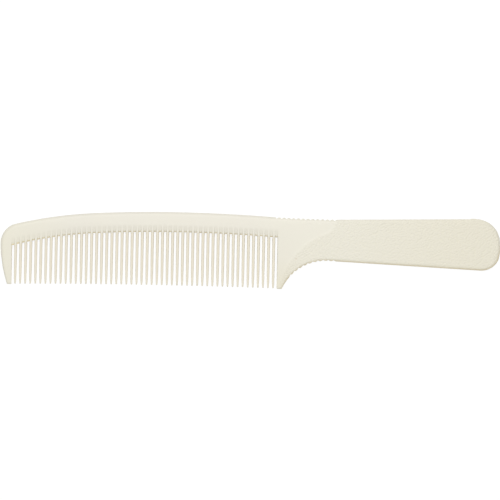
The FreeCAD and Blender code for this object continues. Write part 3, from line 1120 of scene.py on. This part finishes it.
@dataclass(frozen=True)
class Spot:
    """A place on the moulding, as sockets and numbers of a node tree.

    Fields:
        n: the node tree.
        place: the place itself.
        x, y, z: its coordinates in metres.
    """

    n: Nodes
    place: NodeSocket
    x: Maths
    y: Maths
    z: Maths

    @classmethod
    def of(cls, n: Nodes) -> "Spot":
        """The place that a node tree is asked about.

        Args:
            n: the node tree.

        Returns:
            The place, with its coordinates taken apart.
        """
        place = n.add("ShaderNodeTexCoord").outputs["Object"]
        split = n.add("ShaderNodeSeparateXYZ", {}, {0: place})
        return cls(n, place, *(n.number(split.outputs[k]) for k in range(3)))

    def reach(self, centre: Sequence[float]) -> Maths:
        """Distance from a centre, across the face."""
        dx, dy = self.x - centre[0], self.y - centre[1]
        return (dx * dx + dy * dy) ** 0.5


@dataclass(frozen=True)
class CreamPlastic:
    """Satin cream plastic, with a fine leather grain on the handle, and painted light and
    shade in places.

    Places are in metres from the middle of the comb.  A stretch says where
    a change begins and how wide it is.

    Fields:
        drawing: drawing of the moulding.
        roughness, grain_roughness: of the smooth and the grained part.
        gloss_change: how much the roughness wanders.
        refraction: refractive index.
        cell, grain_depth: width and depth of the grain's pebbles.
        grain_turn, grain_stretch: how the pebbles lie, and their shape.
        pebble_soft: how softly neighbouring pebbles meet.
        pebble, ripple: shares of the pebbles and of the waves over them.
        ripple_scale: waves to one pebble.
        fine_scale, fine_share: fine roughness of the whole skin.
        broad_scale, patches, patch_share: broad, faint patches of colour.
        border, tint_border: width of the grain's border, in relief and tint.
        neck_arc, shoulder_arc: centre and radius of the border's two arcs.
        shoulder_start: where the upper arc takes over.
        neck_light_stretch, grip_light_fade: stretches along which painted light lifts the
            smooth neck above the spine, and along which the painted light on the grained
            neck fades into the handle's colour.
        hollow_level, hollows: how deep the hollows of the grain are that get painted
            shade.
        tip_guard_light_end, heel_rise, heel_fade: stretches of the painted light on the
        tip guard and of the heel guard's darker colour.
        edge_start, edge_rise, edge_share: stretches of the painted shade on the lower
            edge.
        seam: width over which the arcs of the roots' line change.
        row_start, row_end: ends of the row of teeth.
        wall_start, wall_end: ends of the row with the guards' walls.
        under_roots: stretch below the line of the roots.
        tooth_share, flank_share: how far teeth are tinted, and where their flanks get
            painted light.
        bottom_start, bottom_end, bottom_depth: stretches of a gap's bottom, which gets
            painted warm light.
        speck, speck_rim, speck_share: place, rim and strength of a speck.
    """

    drawing: Drawing = field(default_factory=Drawing)
    roughness: float = 0.42
    grain_roughness: float = 0.56
    gloss_change: float = 0.04
    refraction: float = 1.49
    cell: float = 0.8 * MM
    grain_depth: float = 0.14 * MM
    grain_turn: float = 38.0
    grain_stretch: Sequence[float] = (1.4, 0.85, 1.0)
    pebble_soft: float = 0.35
    pebble: float = 1.2
    ripple: float = 0.5
    ripple_scale: float = 1.1
    fine_scale: float = 2600.0
    fine_share: float = 0.12
    broad_scale: float = 55.0
    patches: Stretch = (0.35, 0.3)
    patch_share: float = 0.18
    border: float = 1.2 * MM
    tint_border: float = 3.0 * MM
    neck_arc: Sequence[float] = (0.04224, -0.02017, 0.02967)
    shoulder_arc: Sequence[float] = (0.0295, 0.0146, 0.0073)
    shoulder_start: float = 0.0311
    # painted light on the neck, and where it fades into the handle's colour
    neck_light_stretch: Stretch = (0.002, 0.012)
    grip_light_fade: Stretch = (0.040, 0.050)
    hollow_level: float = 1.45
    hollows: Stretch = (0.1, 0.8)
    tip_guard_light_end: Stretch = (-0.1065, 0.03)
    heel_rise: Stretch = (-0.0155, 0.013)
    heel_fade: Stretch = (0.017, 0.006)
    edge_start: Stretch = (0.0125, 0.002)
    edge_rise: Stretch = (0.0, 0.005)
    edge_share: Stretch = (0.72, 0.27)
    seam: float = 0.01 * MM
    row_start: Stretch = (-0.1030, 0.0005)
    row_end: Stretch = (0.0112, 0.0005)
    wall_start: Stretch = (-0.1030, 0.0002)
    wall_end: Stretch = (0.0119, 0.0002)
    under_roots: Stretch = (-0.4 * MM, 0.4 * MM)
    tooth_share: float = 0.8
    flank_share: Stretch = (0.5, 0.45)
    bottom_start: Stretch = (-0.05 * MM, 0.1 * MM)
    bottom_end: Stretch = (0.2 * MM, 0.5 * MM)
    bottom_depth: Stretch = (1.0 * MM, 0.6 * MM)
    speck: Sequence[float] = (0.0197, -0.0030)
    speck_rim: Stretch = (0.12 * MM, 0.14 * MM)
    speck_share: float = 0.6

    def over_roots(self, spot: Spot) -> Maths:
        """Distance of a place above the line of the roots.

        Args:
            spot: the place.

        Returns:
            The distance, below 0 among the teeth.
        """
        d = self.drawing
        arcs = (d.tip_back, d.crest, d.heel_back)
        starts = (0.0, d.crest_start(d.root_drop), d.crest.x)
        rise: Maths | None = None
        for arc, start in zip(arcs, starts):
            centre = (along_comb(arc.x), across_comb(arc.y))
            here = spot.reach(centre) - (arc.radius - d.root_drop) * MM
            rise = here if rise is None else rise + spot.x.over(
                along_comb(start), self.seam) * (here - rise)
        return rise

    def region(self, spot: Spot, soft: float) -> Maths:
        """The grained part of the face.

        Args:
            spot: the place.
            soft: width of the border.

        Returns:
            1 in the grained part, 0 in the smooth one.
        """
        in_neck = 1 - spot.reach(self.neck_arc).over(
            self.neck_arc[2] - soft / 2, soft)
        past = spot.x.over(self.shoulder_start, soft)
        off_shoulder = spot.reach(self.shoulder_arc).over(
            self.shoulder_arc[2] - soft / 2, soft)
        return in_neck.do("MAXIMUM", past * off_shoulder)

    def grain(self, spot: Spot) -> Maths:
        """Relief of the leather grain.

        Args:
            spot: the place.

        Returns:
            The height of its pebbles, in shares of the grain's depth.
        """
        n = spot.n
        turned = n.add("ShaderNodeMapping", {"vector_type": "TEXTURE"}, {
            "Vector": spot.place,
            "Rotation": (0.0, 0.0, math.radians(self.grain_turn)),
            "Scale": self.grain_stretch}).outputs[0]
        size = 1.0 / self.cell
        cells = n.number(n.add("ShaderNodeTexVoronoi", {
            "feature": "SMOOTH_F1", "voronoi_dimensions": "2D"}, {
            "Vector": turned, "Scale": size,
            "Smoothness": self.pebble_soft}).outputs["Distance"])
        waves = n.noise(turned, size * self.ripple_scale, 1.0)
        return self.pebble - cells * self.pebble + waves * self.ripple

    def wall_share(self, spot: Spot, depth: Maths) -> Maths:
        """How far out a place lies in the plate.

        Args:
            spot: the place.
            depth: its distance from the parting plane.

        Returns:
            That distance as a share of half the plate's thickness there.
        """
        d = self.drawing
        even = spot.x.over(along_comb(d.row_end), (d.waist - d.row_end) * MM)
        even = even * even * (3 - 2 * even)
        tip, full = d.half_tip * MM, d.half_plate * MM
        wedge = spot.y.over(across_comb(0.0), d.full_height * MM) \
            * (full - tip) + tip
        plate = wedge + even * (full - wedge)
        return depth * plate ** -1.0

    def face(self, spot: Spot, pebble: Maths, broad: Maths) -> NodeSocket:
        """Colour of the smooth and the grained face, with painted light on the neck and
        painted shade in the grain's hollows.

        Args:
            spot: the place.
            pebble: relief of the grain.
            broad: broad random patches.

        Returns:
            The colour.
        """
        n = spot.n
        # painted light: the neck's smooth and grained faces are lightened, fading into the
        # handle's own colour
        smooth = n.mix(spot.x.over(*self.neck_light_stretch), Shade.SPINE, Shade.NECK_PAINTED_LIGHT)
        rough = n.mix(spot.x.over(*self.grip_light_fade), Shade.GRIP, Shade.HANDLE)
        tinted = self.region(spot, self.tint_border)
        both = n.mix(tinted, smooth, rough)
        # painted shade: the hollows of the grain get a faint warm tint, standing in for
        # the shade their relief gets
        hollow_shade_mask = (self.hollow_level - pebble).over(*self.hollows)
        hollow_shaded = n.mix(tinted * hollow_shade_mask, both, Shade.GRAIN_HOLLOW_SHADE, "MULTIPLY")
        return n.mix(broad.over(*self.patches) * self.patch_share, hollow_shaded,
                     Shade.HANDLE)

    def guards(self, spot: Spot, colour: NodeSocket) -> NodeSocket:
        """Paint light on the tip guard, and darken the low part of the heel guard.

        Args:
            spot: the place.
            colour: its colour so far.

        Returns:
            The colour with painted light on the tip guard and the heel guard darkened.
        """
        n, x = spot.n, spot.x
        # painted light: the tip guard is lightened to offset the shade that its taper gets
        colour = n.mix(1 - x.over(*self.tip_guard_light_end), colour, Shade.TIP_GUARD_PAINTED_LIGHT)
        low = (1 - spot.y.over(*self.heel_rise)) * x.over(*self.row_end)
        return n.mix(low * (1 - x.over(*self.heel_fade)), colour, Shade.HEEL)

    def edges(self, spot: Spot, share: Maths,
              colour: NodeSocket) -> NodeSocket:
        """Paint warm shade on the lower edge of the heel, the notch and the handle, whose
        rounding turns away from the lamp.

        Args:
            spot: the place.
            share: how far out it lies in the plate.
            colour: its colour so far.

        Returns:
            The colour with the painted shade on the edge.
        """
        # painted shade on the rounding of the lower edge, which turns away from the lamp
        under = spot.x.over(*self.edge_start) \
            * (1 - spot.y.over(*self.edge_rise))
        return spot.n.mix(under * (1 - share.over(*self.edge_share)), colour,
                          Shade.EDGE, "MULTIPLY")

    def teeth(self, spot: Spot, depth: Maths, share: Maths,
              colour: NodeSocket) -> NodeSocket:
        """Shade the teeth, their flanks and the bottoms of the gaps.

        Args:
            spot: the place.
            depth: its distance from the parting plane.
            share: how far out it lies in the plate.
            colour: its colour so far.

        Returns:
            The colour with the teeth tinted and the painted light added.
        """
        n, x = spot.n, spot.x
        rise = self.over_roots(spot)
        below = 1 - rise.over(*self.under_roots)
        in_row = (1 - x.over(*self.row_end)) * x.over(*self.row_start)
        colour = n.mix(in_row * below * self.tooth_share, colour, Shade.TOOTH)
        # painted light on the flanks deep in the gaps, where neighbouring teeth shade them
        walls = (1 - x.over(*self.wall_end)) * x.over(*self.wall_start)
        deep = 1 - share.over(*self.flank_share)
        colour = n.mix(walls * below * deep, colour, Shade.FLANK_PAINTED_LIGHT)
        # painted light: a warm glow on the shaded walls at the bottoms of the gaps
        bottom = in_row * rise.over(*self.bottom_start) \
            * (1 - rise.over(*self.bottom_end))
        return n.mix(bottom * (1 - depth.over(*self.bottom_depth)), colour,
                     Shade.GAP_BOTTOM_PAINTED_LIGHT)

    def material(self) -> Material:
        """Build the node tree.

        Returns:
            The finished material.
        """
        n = Nodes(bpy.data.materials.new("cream_plastic_finish"))
        spot = Spot.of(n)
        pebble = self.grain(spot)
        broad = n.noise(spot.place, self.broad_scale)
        fine = n.noise(spot.place, self.fine_scale)
        depth = (spot.z - self.drawing.half_plate * MM).do("ABSOLUTE")
        share = self.wall_share(spot, depth)
        colour = self.face(spot, pebble, broad)
        colour = self.guards(spot, colour)
        colour = self.edges(spot, share, colour)
        colour = self.teeth(spot, depth, share, colour)
        dot = 1 - spot.reach(self.speck).over(*self.speck_rim)
        colour = n.mix(dot * self.speck_share, colour, Shade.SPECK)

        grained = self.region(spot, self.border)
        bump = n.add("ShaderNodeBump", {}, {
            "Strength": 1.0, "Distance": self.grain_depth,
            "Height": grained * pebble + fine * self.fine_share})
        roughness = grained * (self.grain_roughness - self.roughness) \
            + self.roughness + broad * self.gloss_change
        return n.finish(n.add("ShaderNodeBsdfPrincipled", {}, {
            "Base Color": colour, "Roughness": roughness,
            "IOR": self.refraction, "Normal": bump.outputs[0]}))


@dataclass(frozen=True)
class PaleFloor:
    """Plain floor that looks white and keeps a soft shadow.

    Fields:
        colour: colour by which it lights the comb.
        seen_colour, lift: colour and glow by which it is seen.
    """

    colour: Sequence[float] = (0.92, 0.92, 0.92, 1.0)
    seen_colour: Sequence[float] = (0.11, 0.11, 0.11, 1.0)
    lift: float = 0.935

    def material(self) -> Material:
        """Build the node tree.

        Returns:
            The finished material.
        """
        n = Nodes(bpy.data.materials.new("pale_floor"))
        matt = n.add("ShaderNodeBsdfDiffuse", {}, {"Color": self.colour})
        faint = n.add("ShaderNodeBsdfDiffuse", {}, {
            "Color": self.seen_colour})
        lifted = n.add("ShaderNodeAddShader", {}, {
            0: faint.outputs[0],
            1: n.add("ShaderNodeEmission", {}, {
                "Strength": self.lift}).outputs[0]})
        return n.finish(n.add("ShaderNodeMixShader", {}, {
            0: n.looked_at(), 1: matt.outputs[0], 2: lifted.outputs[0]}))


# -------------------------------------------------------------------- comb

@dataclass
class Comb:
    """The whole moulding, dressed as one piece.

    Fields:
        drawing: drawing of the moulding.
        finish: what it is made of.
        replaced: solids that it stands in for.
    """

    drawing: Drawing = field(default_factory=Drawing)
    finish: CreamPlastic = field(default_factory=CreamPlastic)
    replaced: Sequence[str] = ("spine", "teeth", "tip_guard", "heel_guard",
                               "neck", "handle")

    def patches(self) -> list[Object]:
        """Build the upper skin of every region.

        Returns:
            The patches of the skin.
        """
        made = []
        for region in (TipGuard, TeethRow, Neck, Handle):
            for index, sheet in enumerate(region(self.drawing).sheets()):
                name = f"{region.__name__}_{index}"
                made.append(sheet.build(name, self.drawing))
            LOG.info("%s: %d patches so far", region.__name__, len(made))
        return made

    def close(self, skin: Object) -> None:
        """Carry the rim to the parting plane and mirror the other half.

        Args:
            skin: the joined upper skin, which is the active object.
        """
        bpy.ops.object.mode_set(mode="EDIT")
        bpy.ops.mesh.select_all(action="SELECT")
        bpy.ops.mesh.remove_doubles(threshold=MERGE_REACH)
        bpy.ops.mesh.normals_make_consistent(inside=False)
        bpy.ops.mesh.select_mode(type="EDGE")
        bpy.ops.mesh.select_all(action="DESELECT")
        bpy.ops.mesh.select_non_manifold(
            extend=False, use_wire=False, use_boundary=True,
            use_multi_face=False, use_non_contiguous=False, use_verts=False)
        bpy.ops.mesh.extrude_edges_move()
        bpy.ops.transform.resize(value=(1.0, 1.0, 0.0),
                                 center_override=(0.0, 0.0, 0.0))
        bpy.ops.mesh.select_all(action="SELECT")
        bpy.ops.mesh.remove_doubles(threshold=MERGE_REACH)
        bpy.ops.object.mode_set(mode="OBJECT")
        mirror = skin.modifiers.new("other_half", "MIRROR")
        mirror.use_axis = (False, False, True)
        mirror.use_mirror_merge = True
        mirror.merge_threshold = MERGE_REACH
        bpy.ops.object.modifier_apply(modifier=mirror.name)
        bpy.ops.object.mode_set(mode="EDIT")
        bpy.ops.mesh.select_all(action="SELECT")
        bpy.ops.mesh.normals_make_consistent(inside=False)
        bpy.ops.object.mode_set(mode="OBJECT")

    def build(self) -> Object:
        """Make the moulding, dress it and put it in place of the solids.

        Returns:
            The finished moulding.
        """
        made = self.patches()
        bpy.ops.object.select_all(action="DESELECT")
        for patch in made:
            patch.select_set(True)
        skin = made[0]
        bpy.context.view_layer.objects.active = skin
        bpy.ops.object.join()
        skin.name = skin.data.name = "comb_moulding"
        self.close(skin)
        low, high = CAD_BOX
        skin.location = (0.0, 0.0, (low.z + high.z) / 2)
        bpy.ops.object.transform_apply(location=True, rotation=True,
                                       scale=True)
        bpy.ops.object.shade_smooth_by_angle(angle=math.radians(SMOOTH_UP_TO))
        skin.data.materials.clear()
        skin.data.materials.append(self.finish.material())
        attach(skin, "root")
        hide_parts(*self.replaced)
        LOG.info("%s: %d vertices, %d faces", skin.name,
                 len(skin.data.vertices), len(skin.data.polygons))
        return skin


# ------------------------------------------------------------------- studio

@dataclass
class Studio:
    """Floor, soft light and the camera straight above the comb.

    Fields:
        floor_size: width of the floor.
        distance, roll, aim: place of the camera over the comb.
        lens, sensor, clip: the camera's own measures.
        sky, seen_sky: strength by which the sky lights and is seen.
        lamp, lamp_size, lamp_place, lamp_aim: the broad lamp.
    """

    floor_size: float = 3.0
    distance: float = 2.3912
    lens: float = 400.0
    sensor: float = 36.0
    clip: Sequence[float] = (0.05, 20.0)
    roll: float = 1.045
    aim: Sequence[float] = (-0.00017, 0.00041)
    sky: float = 0.5
    seen_sky: float = 1.0
    lamp: float = 2.36
    lamp_size: float = 0.4
    lamp_place: Sequence[float] = (-0.03, 0.17, 0.58)
    lamp_aim: Sequence[float] = (0.0, 0.0, 0.0)

    def build(self) -> None:
        """Put up the floor, the lamps and the camera."""
        self.floor()
        self.lights()
        self.camera()

    def floor(self) -> Object:
        """Lay a plain pale floor under the comb.

        Returns:
            The floor.
        """
        bpy.ops.object.select_all(action="DESELECT")
        bpy.ops.mesh.primitive_plane_add(size=self.floor_size,
                                         location=(0.0, 0.0, 0.0))
        floor = bpy.context.object
        floor.name = "floor"
        floor.data.materials.append(PaleFloor().material())
        LOG.info("floor: %.1f m wide", self.floor_size)
        return floor

    def lights(self) -> None:
        """Even sky and one broad lamp from above and to the upper left."""
        n = Nodes(bpy.data.worlds.new("studio"))
        soft, seen = (n.add("ShaderNodeBackground", {}, {
            "Color": (1.0, 1.0, 1.0, 1.0), "Strength": strength}).outputs[0]
            for strength in (self.sky, self.seen_sky))
        bpy.context.scene.world = n.finish(
            n.add("ShaderNodeMixShader", {},
                  {0: n.looked_at(), 1: soft, 2: seen}),
            "ShaderNodeOutputWorld")
        lamp = bpy.data.lights.new("broad_lamp", "AREA")
        lamp.energy, lamp.size = self.lamp, self.lamp_size
        holder = bpy.data.objects.new("broad_lamp", lamp)
        bpy.context.scene.collection.objects.link(holder)
        holder.location = Vector(self.lamp_place)
        way = Vector(self.lamp_aim) - holder.location
        holder.rotation_euler = way.to_track_quat("-Z", "Y").to_euler()
        LOG.info("light: sky %.2f, lamp %.2f", self.sky, self.lamp)

    def camera(self) -> Object:
        """Set up a camera that looks straight down on the comb's face.

        Returns:
            The camera.
        """
        data = bpy.data.cameras.new("camera")
        data.lens, data.sensor_width = self.lens, self.sensor
        data.clip_start, data.clip_end = self.clip
        camera = bpy.data.objects.new("camera", data)
        bpy.context.scene.collection.objects.link(camera)
        low, high = CAD_BOX
        camera.location = (*self.aim, (low.z + high.z) / 2 + self.distance)
        camera.rotation_euler = (0.0, 0.0, math.radians(self.roll))
        bpy.context.scene.camera = camera
        LOG.info("camera: %.3f m above the comb", self.distance)
        return camera


def main() -> None:
    """Build the comb, then the studio."""
    logging.basicConfig(level=logging.INFO, format="%(message)s")
    bpy.context.scene.view_settings.view_transform = "Standard"
    Comb().build()
    Studio().build()


if __name__ == "__main__":
    main()
